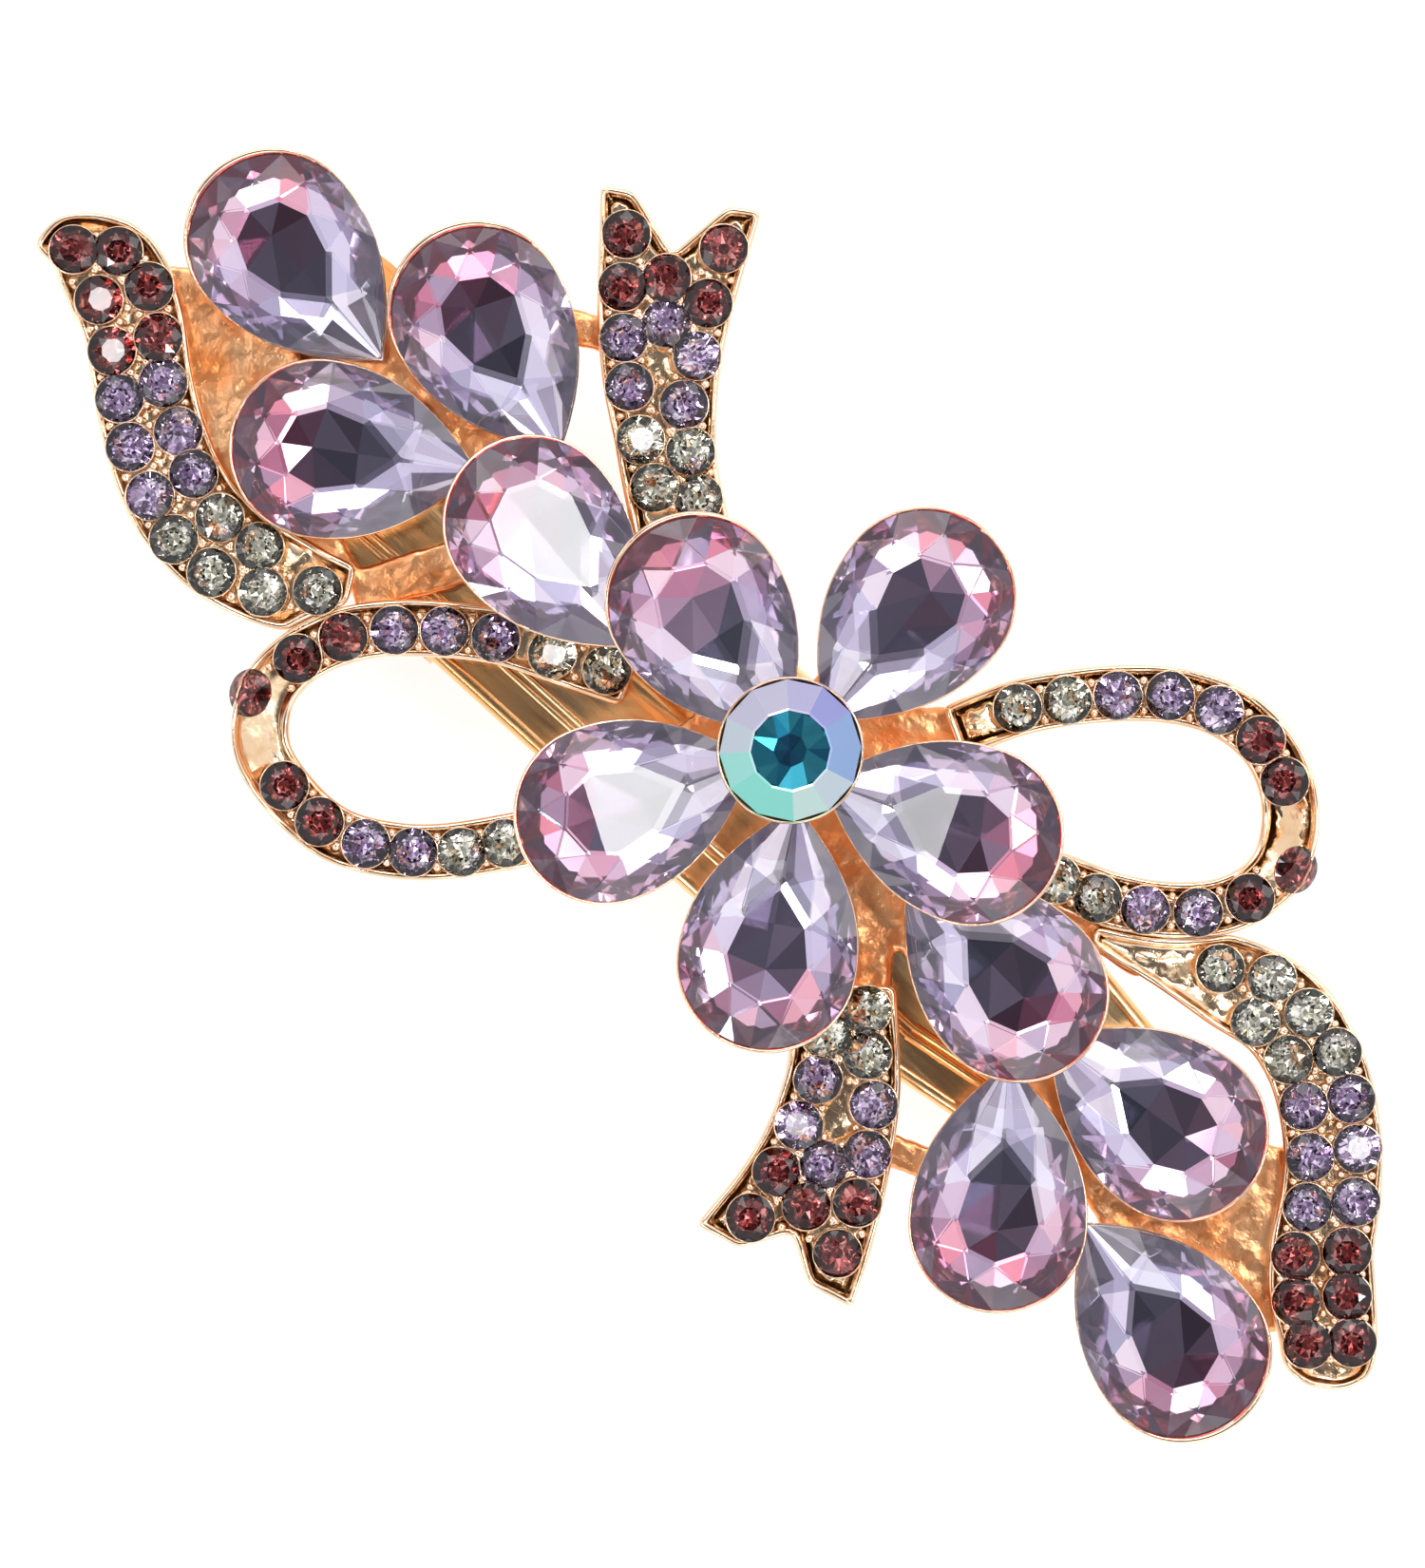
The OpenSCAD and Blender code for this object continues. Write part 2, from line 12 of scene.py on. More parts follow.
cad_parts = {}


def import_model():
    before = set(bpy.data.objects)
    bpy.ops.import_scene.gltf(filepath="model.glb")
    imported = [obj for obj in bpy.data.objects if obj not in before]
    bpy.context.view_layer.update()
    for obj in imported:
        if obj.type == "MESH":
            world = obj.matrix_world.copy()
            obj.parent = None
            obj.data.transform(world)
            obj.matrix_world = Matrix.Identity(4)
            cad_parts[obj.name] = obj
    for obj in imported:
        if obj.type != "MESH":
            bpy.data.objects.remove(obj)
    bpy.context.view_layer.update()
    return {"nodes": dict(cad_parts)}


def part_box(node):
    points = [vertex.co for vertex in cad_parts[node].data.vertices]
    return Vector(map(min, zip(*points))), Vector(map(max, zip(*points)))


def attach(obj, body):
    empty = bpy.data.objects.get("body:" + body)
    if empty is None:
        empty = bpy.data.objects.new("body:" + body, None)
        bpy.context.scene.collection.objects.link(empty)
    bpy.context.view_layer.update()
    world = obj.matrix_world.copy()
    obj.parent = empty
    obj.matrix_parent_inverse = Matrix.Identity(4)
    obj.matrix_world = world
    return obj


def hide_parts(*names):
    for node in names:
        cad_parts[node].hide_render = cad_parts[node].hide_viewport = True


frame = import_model()
MM = 0.001
nodes = frame["nodes"]
rng = random.Random(8)
# Degrees that the clip is turned by in the picture.
VIEW_TURN = 42.3

GLASS_IOR = 1.56

PEARS = sorted(n[len("crystal_"):] for n in nodes if n.startswith("crystal_"))
PAVE = sorted(n for n in nodes if n.startswith("pave_"))
RIBBONS = sorted(n for n in nodes if n.startswith("ribbon_"))
STEM_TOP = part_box("ribbon_leaf_1")[0].z


# ---------------------------------------------------------------- materials

def new_material(name):
    """A material with only a Principled shader, and its node tree."""
    mat = bpy.data.materials.new(name)
    mat.use_nodes = True
    tree = mat.node_tree
    return mat, tree, tree.nodes["Principled BSDF"]


def link(tree, a, b):
    tree.links.new(a, b)


def noise(tree, scale, detail=3.0, rough=0.55, stretch=None):
    """Noise in millimetres of the piece's own space."""
    place = tree.nodes.new("ShaderNodeTexCoord")
    scaled = tree.nodes.new("ShaderNodeMapping")
    scaled.inputs["Scale"].default_value = stretch or (1, 1, 1)
    node = tree.nodes.new("ShaderNodeTexNoise")
    node.inputs["Scale"].default_value = scale / MM
    node.inputs["Detail"].default_value = detail
    node.inputs["Roughness"].default_value = rough
    link(tree, place.outputs["Object"], scaled.inputs["Vector"])
    link(tree, scaled.outputs["Vector"], node.inputs["Vector"])
    return node.outputs["Fac"]


def ramp(tree, fac, stops):
    """Colour ramp: stops are (position, colour)."""
    node = tree.nodes.new("ShaderNodeValToRGB")
    band = node.color_ramp
    while len(band.elements) < len(stops):
        band.elements.new(0.5)
    for element, (at, colour) in zip(band.elements, stops):
        element.position = at
        element.color = (*colour, 1)
    link(tree, fac, node.inputs["Fac"])
    return node.outputs["Color"]


def spread(tree, fac, low, high):
    """Maps 0..1 to low..high."""
    node = tree.nodes.new("ShaderNodeMapRange")
    node.inputs["To Min"].default_value = low
    node.inputs["To Max"].default_value = high
    link(tree, fac, node.inputs["Value"])
    return node.outputs["Result"]


def bump(tree, shader, height, strength, distance):
    node = tree.nodes.new("ShaderNodeBump")
    node.inputs["Strength"].default_value = strength
    node.inputs["Distance"].default_value = distance
    link(tree, height, node.inputs["Height"])
    link(tree, node.outputs["Normal"], shader.inputs["Normal"])


def metal(name, dark, light, rough, grain, grain_depth, stretch=None):
    """Plated metal: tone and roughness drift over the surface, with cast or rolled grain."""
    mat, tree, shader = new_material(name)
    shader.inputs["Metallic"].default_value = 1
    tone = noise(tree, 0.35, 4, 0.6, stretch)
    link(tree, ramp(tree, tone, [(0.3, dark), (0.7, light)]), shader.inputs["Base Color"])
    link(tree, spread(tree, noise(tree, 1.7, 3, 0.6, stretch), *rough), shader.inputs["Roughness"])
    bump(tree, shader, noise(tree, grain, 4, 0.6, stretch), 0.6, grain_depth * MM)
    return mat


def crystal_skin(name, colour):
    """Clear tinted glass for the facets that light enters and leaves by."""
    mat, tree, shader = new_material(name)
    tone = noise(tree, 0.12, 2)
    tints = [tuple(c * k for c in colour) for k in (0.96, 1.0)]
    link(tree, ramp(tree, tone, [(0.35, tints[0]), (0.65, tints[1])]), shader.inputs["Base Color"])
    shader.inputs["Transmission Weight"].default_value = 1
    shader.inputs["Roughness"].default_value = 0
    shader.inputs["IOR"].default_value = GLASS_IOR
    return mat


def foil(name, stops, blush=(1, 1, 1), rough=0.05, glow=0.0):
    """Mirror foil behind the back facets. Each facet carries its own painted light or dark shade and its blush in
    mesh attributes.
    glow is painted light: an emission in the foil's colour that stands for the light that scatters inside the
    stone."""
    mat, tree, shader = new_material(name)
    shader.inputs["Metallic"].default_value = 1
    shader.inputs["Roughness"].default_value = rough
    facet = tree.nodes.new("ShaderNodeAttribute")
    facet.attribute_name = "facet"
    warm = tree.nodes.new("ShaderNodeAttribute")
    warm.attribute_name = "blush"
    mix = tree.nodes.new("ShaderNodeMix")
    mix.data_type = "RGBA"
    mix.blend_type = "MULTIPLY"
    mix.inputs["B"].default_value = (*blush, 1)
    link(tree, warm.outputs["Fac"], mix.inputs["Factor"])
    link(tree, ramp(tree, facet.outputs["Fac"], stops), mix.inputs["A"])
    link(tree, mix.outputs["Result"], shader.inputs["Base Color"])
    # Painted light: the foil glows in its own painted colour.
    link(tree, mix.outputs["Result"], shader.inputs["Emission Color"])
    shader.inputs["Emission Strength"].default_value = glow
    return mat


ROSE = metal("rose_gold", (0.93, 0.62, 0.40), (1.0, 0.80, 0.60), (0.08, 0.2), 2.2, 0.02)
CAST = metal("cast_gold", (0.98, 0.32, 0.09), (1.0, 0.58, 0.30), (0.22, 0.40), 1.3, 0.12)
FLOOR_GOLD = metal("pave_floor_gold", (0.90, 0.58, 0.32), (1.0, 0.80, 0.56), (0.10, 0.26), 1.5, 0.06)
PLATE = metal("clip_gold", (0.95, 0.46, 0.16), (1.0, 0.74, 0.42), (0.12, 0.32), 1.2, 0.05, (0.1, 1, 1))
PIN = metal("pin_gold", (0.86, 0.60, 0.34), (0.95, 0.74, 0.48), (0.16, 0.3), 3.0, 0.008)
SPRING = metal("spring_steel", (0.46, 0.45, 0.44), (0.70, 0.69, 0.67), (0.18, 0.34), 3.0, 0.006, (1, 0.2, 1))

# The foil ramps run from painted shade to painted highlight; each facet's painted shade picks its colour.
LILAC_SKIN = crystal_skin("lilac_skin", (0.97, 0.955, 1.0))
LILAC_FOIL = foil(
    "lilac_foil",
    [(0.0, (0.20, 0.20, 0.28)), (0.3, (0.48, 0.46, 0.62)), (0.6, (0.76, 0.73, 0.92)), (1.0, (0.94, 0.92, 1.0))],
    blush=(1.0, 0.34, 0.40), glow=0.08)
AURORA_SKIN = crystal_skin("aurora_skin", (0.80, 0.97, 1.0))
AURORA_FOIL = foil(
    "aurora_foil", [(0.0, (0.01, 0.05, 0.10)), (0.5, (0.01, 0.10, 0.16)), (1.0, (0.03, 0.18, 0.23))])
# The coat's colours are painted reflections: they follow the bearing round the ring, from the picture's right.
AURORA_COAT_REFLECTIONS = foil(
    "aurora_coat_painted_reflections",
    [(0.0, (0.42, 0.62, 0.98)), (0.125, (0.52, 0.50, 0.98)), (0.25, (0.84, 0.80, 1.0)), (0.38, (0.74, 0.72, 0.90)),
     (0.5, (0.70, 0.95, 0.92)), (0.62, (0.34, 0.94, 0.82)), (0.75, (0.40, 0.95, 0.82)), (0.88, (0.90, 1.0, 0.98)),
     (1.0, (0.42, 0.62, 0.98))],
    rough=0.12)
# Each stone's foil ramp runs from painted shade to painted highlight.
STONES = {
    "burgundy": (
        crystal_skin("burgundy_skin", (0.84, 0.58, 0.58)),
        foil("burgundy_foil",
             [(0.0, (0.08, 0.015, 0.015)), (0.6, (0.26, 0.07, 0.065)), (1.0, (0.80, 0.42, 0.40))])),
    "amethyst": (
        crystal_skin("amethyst_skin", (0.88, 0.83, 0.95)),
        foil("amethyst_foil",
             [(0.0, (0.16, 0.11, 0.18)), (0.6, (0.50, 0.40, 0.54)), (1.0, (1.0, 0.93, 1.0))])),
    "smoke": (
        crystal_skin("smoke_skin", (0.97, 0.97, 0.94)),
        foil("smoke_foil",
             [(0.0, (0.24, 0.23, 0.18)), (0.6, (0.66, 0.65, 0.56)), (1.0, (1.0, 0.98, 0.92))])),
}


# ---------------------------------------------------------------- mesh helpers

def add_piece(name, points, faces, materials, slots=None, smooth=False, facet=None, blush=None, at=None):
    """A mesh object from points in millimetres. facet and blush are one number a face, kept as attributes."""
    mesh = bpy.data.meshes.new(name)
    mesh.from_pydata([tuple(c * MM for c in p) for p in points], [], faces)
    for material in materials:
        mesh.materials.append(material)
    if slots is not None:
        mesh.polygons.foreach_set("material_index", slots)
    mesh.polygons.foreach_set("use_smooth", [smooth] * len(mesh.polygons))
    for key, values in (("facet", facet), ("blush", blush)):
        if values is not None:
            layer = mesh.attributes.new(key, "FLOAT", "FACE")
            layer.data.foreach_set("value", values)
    mesh.validate()
    mesh.update()
    piece = bpy.data.objects.new(name, mesh)
    bpy.context.scene.collection.objects.link(piece)
    if at is not None:
        piece.matrix_world = at
    return piece


def islands(node):
    """Vertices of each separate solid of a CAD node, in metres."""
    mesh = nodes[node].data
    points = np.array([v.co for v in mesh.vertices])
    keys, inverse = np.unique(np.round(points, 6), axis=0, return_inverse=True)
    parent = list(range(len(keys)))

    def root(i):
        while parent[i] != i:
            parent[i] = parent[parent[i]]
            i = parent[i]
        return i

    inverse = inverse.reshape(-1)
    for edge in mesh.edges:
        a, b = root(inverse[edge.vertices[0]]), root(inverse[edge.vertices[1]])
        parent[a] = b
    groups = {}
    for i in range(len(keys)):
        groups.setdefault(root(i), []).append(keys[i])
    return [np.array(g) for g in groups.values() if len(g) > 8]


def pear_frame(node):
    """Where a CAD pear crystal lies: its matrix (tip towards local +X, table towards +Z), length, width."""
    mesh = nodes[node].data
    facing = {}
    for p in mesh.polygons:
        key = tuple(round(c, 1) for c in p.normal)
        facing.setdefault(key, []).append(p)
    up = max((k for k in facing if k[2] > 0.7), key=lambda k: sum(p.area for p in facing[k]))
    table = facing[up]
    z = sum((p.normal * p.area for p in table), Vector()).normalized()
    points = [v.co for v in mesh.vertices]
    level = Vector(np.mean([list(p) for p in points], axis=0))
    flat = [(p - level) - z * (p - level).dot(z) for p in points]
    x = max(flat, key=lambda p: p.length).normalized()
    y = z.cross(x)
    along = [p.dot(x) for p in points]
    across = [p.dot(y) for p in points]
    height = [p.dot(z) for p in points]
    top = max(height)
    bottom = min(height)
    girdle = top - (top - bottom) * 0.6
    middle = x * (max(along) + min(along)) / 2 + y * (max(across) + min(across)) / 2 + z * girdle
    at = Matrix((x, y, z)).transposed().to_4x4()
    at.translation = middle
    return at, (max(along) - min(along)) / MM, (max(across) - min(across)) / MM


def pear_reach(angle, length, width):
    """Distance from the middle of the round end to the pear's outline, at an angle from the tip."""
    r = width / 2
    side = length - r
    a = abs((angle + 180) % 360 - 180)
    if a >= 90:
        return r
    low, high = 0.0, 1.0
    for _ in range(30):
        u = (low + high) / 2
        y = r * (1 - u ** 2.2)
        if math.degrees(math.atan2(y, side * u)) > a:
            low = u
        else:
            high = u
    return math.hypot(side * low, r * (1 - low ** 2.2))


# Girdle bearings of a pear's main corners and of the points between them, from the tip.
G_ANGLES = [0, 38, 90, 135, 180, 225, 270, 322]
H_ANGLES = [18, 63, 113, 158, 202, 247, 297, 342]
# Girdle steps between a corner and the next point.
FINE = 2
# Listed crystals lean a little: radians about their own Y and X.
LEAN = {"trail_4": (-0.02, -0.164), "trail_5": (0.0, 0.06), "petal_d": (0.03, 0.0)}


def facet_stone(corners, halves, outline, table, star, crown, girdle, depth, mid, inner, keel):
    """A faceted stone. corners and halves are girdle angles and outline(angle) the reach. table, star, mid
    and inner are (share of the reach, share of the height), where a third number in mid or inner is the height
    at the end across from the tip; keel is the shares of its two ends.
    Returns points, faces, and a zone a face: 0 crown, 1 girdle and outer back, 2 inner back."""
    n = len(corners)
    points, faces, zone = [], [], []

    def put(angle, share, z):
        r = outline(angle) * share
        a = math.radians(angle)
        points.append((r * math.cos(a), r * math.sin(a), z))
        return len(points) - 1

    def sloped(level, angle):
        return level[1] + (level[-1] - level[1]) * (1 - math.cos(math.radians(angle))) / 2

    def face(loop, part):
        faces.append(loop)
        zone.append(part)

    tables = [put(a, table[0], crown) for a in corners]
    stars = [put(a, star[0], girdle / 2 + (crown - girdle / 2) * star[1]) for a in halves]
    ring = []
    for j in range(n):
        stops = [corners[j], halves[j], corners[(j + 1) % n] + (360 if j == n - 1 else 0)]
        for a, b in zip(stops, stops[1:]):
            ring += [a + (b - a) * k / FINE for k in range(FINE)]
    upper = [put(a, 1, girdle / 2) for a in ring]
    lower = [put(a, 1, -girdle / 2) for a in ring]
    m = len(ring)
    mids = [put(a, mid[0], -girdle / 2 - depth * sloped(mid, a)) for a in halves]
    inners = [put(a, inner[0], -girdle / 2 - depth * sloped(inner, a)) for a in corners]
    ends = [put(corners[0], keel[0], -girdle / 2 - depth), put(corners[n // 2], keel[1], -girdle / 2 - depth)]
    face(tables, 0)
    for j in range(n):
        k = (j + 1) % n
        g = j * 2 * FINE
        face([tables[k], tables[j], stars[j]], 0)
        face([tables[j], stars[j - 1], upper[g]], 0)
        face([tables[j], upper[g], stars[j]], 0)
        for i in range(g, g + 2 * FINE):
            face([stars[j], upper[i], upper[(i + 1) % m]], 0)
            face([lower[i], mids[j], lower[(i + 1) % m]], 1)
        face([lower[g], mids[j - 1], inners[j]], 1)
        face([mids[j], lower[g], inners[j]], 1)
        face([mids[j], inners[j], inners[k]], 1)
        near, far = (ends[0] if abs((corners[i] + 180) % 360 - 180) < 80 else ends[1] for i in (j, k))
        face([inners[j], near, inners[k]], 2)
        if near != far:
            face([near, far, inners[k]], 2)
    for i in range(m):
        face([upper[i], lower[i], lower[(i + 1) % m], upper[(i + 1) % m]], 1)
    return points, faces, zone


def painted_shade_and_blush(points, faces, zone, wide=None):
    """Painted shade and blush of each face: every facet gets a painted light or dark shade, the middle of the back
    a darker painted shade, the wide end of a pear redder.
    """
    tone, blush = [], []
    for loop, part in zip(faces, zone):
        # Painted shade: dark for the middle of the back; every other facet gets painted light or shade at random.
        tone.append(rng.uniform(0.0, 0.4) if part == 2 else rng.choice((0.28, 0.5, 0.7, 0.9, 1.0)))
        x = sum(points[i][0] for i in loop) / len(loop)
        red = 0.0 if wide is None else min(max((wide[0] - x) / (wide[0] - wide[1]), 0), 1)
        blush.append(min(1.0, red * rng.choice((0.35, 0.6, 0.9, 1.3)) + 0.12 * rng.random()))
    return tone, blush


def tidy_normals(piece):
    """Turns every face outwards."""
    work = bmesh.new()
    work.from_mesh(piece.data)
    bmesh.ops.recalc_face_normals(work, faces=work.faces)
    work.to_mesh(piece.data)
    work.free()


# ---------------------------------------------------------------- pear crystals and cups

def pear_crystal(name):
    node = "crystal_" + name
    at, length, width = pear_frame(node)
    x0 = width / 2 - length / 2
    points, faces, zone = facet_stone(
        G_ANGLES, H_ANGLES, lambda a: pear_reach(a, length, width),
        table=(0.52, 1), star=(0.76, 0.62), crown=1.35, girdle=0.24, depth=0.52,
        mid=(0.73, 0.40, 0.18), inner=(0.46, 0.86, 0.80), keel=(0.24, 0.10))
    points = [(x + x0, y, z) for x, y, z in points]
    tone, blush = painted_shade_and_blush(points, faces, zone, wide=(0.5, -6.0))
    tip, roll = LEAN.get(name, (0, 0))
    at = at @ Matrix.Rotation(tip, 4, "Y") @ Matrix.Rotation(roll, 4, "X")
    piece = add_piece("pear_" + name, points, faces, [LILAC_SKIN, LILAC_FOIL], [min(z, 1) for z in zone],
                      facet=tone, blush=blush, at=at)
    tidy_normals(piece)
    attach(piece, "ornament")
    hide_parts(node)
    return at, length, width


def round_ring(x, y, r, z, sides):
    """Points of a level circle."""
    step = math.pi / (sides / 2)
    return [(x + r * math.cos(i * step), y + r * math.sin(i * step), z) for i in range(sides)]


def lofted(rings):
    """Faces through rings of equal point count, bottom ring first, with the bottom closed."""
    n = len(rings[0])
    points = [p for ring in rings for p in ring]
    faces = [[j * n + i, j * n + (i + 1) % n, (j + 1) * n + (i + 1) % n, (j + 1) * n + i]
             for j in range(len(rings) - 1) for i in range(n)]
    faces.append([i for i in range(n)][::-1])
    return points, faces


# A cup higher than this over the stem, in millimetres, stands on a neck of its own.
NECK_ROOM = 3
NECK_SIDES = 24
# Millimetres that a cup's wide end stands out beyond its crystal.
LIP = {"trail_1": 0.35, "trail_2": 0.35, "trail_8": 0.35, "petal_a": 0.25}


def pear_cup(name, at, length, width):
    """Cast cup: rounded base, wall, rolled rim that hugs the girdle, and the neck down to the stem."""
    x0 = width / 2 - length / 2
    lip = LIP.get(name, 0.12)
    angles = [i * 5 for i in range(72)]

    def ring(share, z, shift=0.0):
        out = []
        for a in angles:
            r = pear_reach(a, length, width) * share
            out.append((x0 - shift + r * math.cos(math.radians(a)), r * math.sin(math.radians(a)), z))
        return out

    room = (at.translation.z - STEM_TOP) / MM
    rings = [ring(0.50, -1.75), ring(0.78, -1.5), ring(0.93, -1.0), ring(1.0, -0.5, lip * 0.8),
             ring(1.020, -0.28, lip), ring(1.024, -0.12, lip), ring(1.018, 0.0, lip), ring(1.004, 0.05, lip * 0.9),
             ring(0.996, -0.02, lip * 0.6), ring(0.985, -0.3), ring(0.75, -1.1), ring(0.48, -1.35)]
    points, faces = lofted(rings)
    n = len(angles)
    faces.append([(len(rings) - 1) * n + i for i in range(n)])
    if room > NECK_ROOM:
        foot = len(points)
        base = at.inverted() @ Vector((at.translation.x, at.translation.y, STEM_TOP)) / MM
        for share, r in ((0.0, 2.1), (0.35, 1.55), (1.0, 1.6)):
            centre = Vector((0, 0, -1.6)) * share + base * (1 - share)
            points += round_ring(centre.x, centre.y, r, centre.z, NECK_SIDES)
        faces += [[foot + j * NECK_SIDES + i, foot + j * NECK_SIDES + (i + 1) % NECK_SIDES,
                   foot + (j + 1) * NECK_SIDES + (i + 1) % NECK_SIDES, foot + (j + 1) * NECK_SIDES + i]
                  for j in range(2) for i in range(NECK_SIDES)]
        faces.append([foot + i for i in range(NECK_SIDES)][::-1])
        faces.append([foot + 2 * NECK_SIDES + i for i in range(NECK_SIDES)])
    piece = add_piece("cast_cup_" + name, points, faces, [ROSE], smooth=True, at=at)
    tidy_normals(piece)
    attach(piece, "ornament")
    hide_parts("cup_" + name)


for pear in PEARS:
    pear_cup(pear, *pear_crystal(pear))


# ---------------------------------------------------------------- round stones

def round_points(radius, crown, girdle, depth, table):
    corners = [i * 45 for i in range(8)]
    halves = [i * 45 + 22.5 for i in range(8)]
    return facet_stone(corners, halves, lambda a: radius, table=(table, 1), star=(0.78, 0.6), crown=crown,
                       girdle=girdle, depth=depth, mid=(0.62, 0.45), inner=(0.25, 0.85), keel=(0.02, 0.02))


def centre_stone():
    """Round stone with a plain stepped crown: a coated facet ring around a clear table."""
    low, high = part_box("centre_crystal")
    radius = (high.x - low.x) / 2 / MM
    crown, sides = 1.5, 12
    points, faces, zone = round_points(radius * 0.96, crown - 0.12, 0.3, 0.9, 0.6)
    at = Matrix.Translation(((low.x + high.x) / 2, (low.y + high.y) / 2, high.z - crown * MM))
    tone, blush = painted_shade_and_blush(points, faces, zone)
    core = add_piece("round_centre_core", points, faces, [AURORA_SKIN, AURORA_FOIL], [min(z, 1) for z in zone],
                     facet=tone, blush=blush, at=at)
    ring, loops, shade = [], [], []
    for r, z in ((radius, -0.1), (radius, 0.12), (radius * 0.59, crown), (radius * 0.56, crown - 0.06)):
        ring += [(r * math.cos(math.tau * (i + 0.5) / sides), r * math.sin(math.tau * (i + 0.5) / sides), z)
                 for i in range(sides)]
    picture_right = math.radians(VIEW_TURN)
    for j in range(3):
        for i in range(sides):
            k = (i + 1) % sides
            loops.append([j * sides + i, j * sides + k, (j + 1) * sides + k, (j + 1) * sides + i])
            # Painted reflection: each coat facet takes its colour from its bearing from the picture's right.
            bearing = math.tau * (i + 1) / sides - picture_right
            shade.append((bearing / math.tau + rng.uniform(-0.05, 0.05)) % 1)
    coat = add_piece("round_centre_coat", ring, loops, [AURORA_COAT_REFLECTIONS], facet=shade, blush=[0.0] * len(loops), at=at)
    for piece in (core, coat):
        tidy_normals(piece)
        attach(piece, "ornament")
        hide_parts("centre_crystal")
    profile = ((1.2, -3.0), (2.6, -2.8), (3.6, -1.6), (4.05, -0.5), (4.16, -0.2), (4.14, -0.06), (4.06, 0.0),
               (4.0, -0.1), (3.85, -0.6), (2.4, -2.5))
    sides = 72
    points, faces = lofted([round_ring(0, 0, r, z, sides) for r, z in profile])
    faces.append([(len(profile) - 1) * sides + i for i in range(sides)])
    cup = add_piece("cast_cup_centre", points, faces, [ROSE], smooth=True, at=at)
    tidy_normals(cup)
    post_low = STEM_TOP / MM
    post, walls = lofted([round_ring(x, y, r, z, NECK_SIDES)
                          for x, y, r, z in ((1.25, -0.3, 1.5, post_low), (1.2, -0.3, 0.9, post_low + 0.9),
                                             (1.0, -0.2, 0.9, (high.z / MM) - 4.2))])
    neck = add_piece("cast_neck_centre", post, walls, [ROSE], smooth=True,
                     at=Matrix.Translation(((low.x + high.x) / 2, (low.y + high.y) / 2, 0)))
    tidy_normals(neck)
    for piece in (cup, neck):
        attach(piece, "ornament")
        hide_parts("centre_cup")


centre_stone()


def stones_of(ribbon):
    """Middle, radius and top of each stone of a ribbon, in millimetres, with its shade."""
    found = []
    for shade in STONES:
        for solid in islands("pave_%s_%s" % (ribbon, shade)):
            low, high = solid.min(0) / MM, solid.max(0) / MM
            found.append(((low[0] + high[0]) / 2, (low[1] + high[1]) / 2, (high[0] - low[0]) / 2, high[2], shade))
    return found


def loop_bend(ribbon):
    """Where a loop turns over: its hole's middle, the bearing of the stone-free turn, and the stone that
    hangs over the outer rim there."""
    stones = stones_of(ribbon)
    middle = Vector((sum(s[0] for s in stones), sum(s[1] for s in stones))) / len(stones)
    red = [s for s in stones if s[4] == "burgundy"]
    away = math.atan2(middle.y, middle.x)
    red.sort(key=lambda s: (math.atan2(s[1] - middle.y, s[0] - middle.x) - away + math.pi) % math.tau)
    gap = max(range(len(red) - 1), key=lambda i: math.hypot(red[i][0] - red[i + 1][0], red[i][1] - red[i + 1][1]))
    pair = red[gap], red[gap + 1]
    spot = Vector(((pair[0][0] + pair[1][0]) / 2, (pair[0][1] + pair[1][1]) / 2))
    over = max(pair, key=lambda s: math.hypot(s[0], s[1]))
    return middle, math.atan2(spot.y - middle.y, spot.x - middle.x), over[:2]


BENDS = {name: loop_bend(name) for name in ("loop_1", "loop_2")}


# The set stones touch, where the CAD keeps a little air between them.
STONE_GROWTH = 1.11


def pave_stones(node):
    """All the small stones of one CAD node, each turned and leant a little as set by hand."""
    ribbon, shade = node[len("pave_"):].rsplit("_", 1)
    points, faces, zones = [], [], []
    for x, y, radius, top, _ in (s for s in stones_of(ribbon) if s[4] == shade):
        one, loops, zone = round_points(radius * STONE_GROWTH, 0.5, 0.1, 0.55, 0.5)
        lean = Matrix.Rotation(rng.uniform(-0.2, 0.2), 4, "X") @ Matrix.Rotation(rng.uniform(-0.2, 0.2), 4, "Y")
        middle = Vector((x, y, top - 0.45))
        if ribbon in BENDS and (x, y) == BENDS[ribbon][2]:
            out = (Vector((x, y)) - BENDS[ribbon][0]).normalized()
            middle += Vector((out.x * 0.7, out.y * 0.7, 0.1))
            lean = Matrix.Rotation(0.5, 4, Vector((-out.y, out.x, 0)))
        turn = lean @ Matrix.Rotation(rng.uniform(0, math.pi), 4, "Z")
        start = len(points)
        points += [tuple(middle + turn @ Vector(p)) for p in one]
        faces += [[start + i for i in loop] for loop in loops]
        zones += zone
    tone, blush = painted_shade_and_blush(points, faces, zones)
    piece = add_piece("stones_%s_%s" % (ribbon, shade), points, faces, STONES[shade], [min(z, 1) for z in zones],
                      facet=tone, blush=blush)
    tidy_normals(piece)
    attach(piece, "ornament")
    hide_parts(node)


for stones in PAVE:
    pave_stones(stones)


# ---------------------------------------------------------------- ribbons

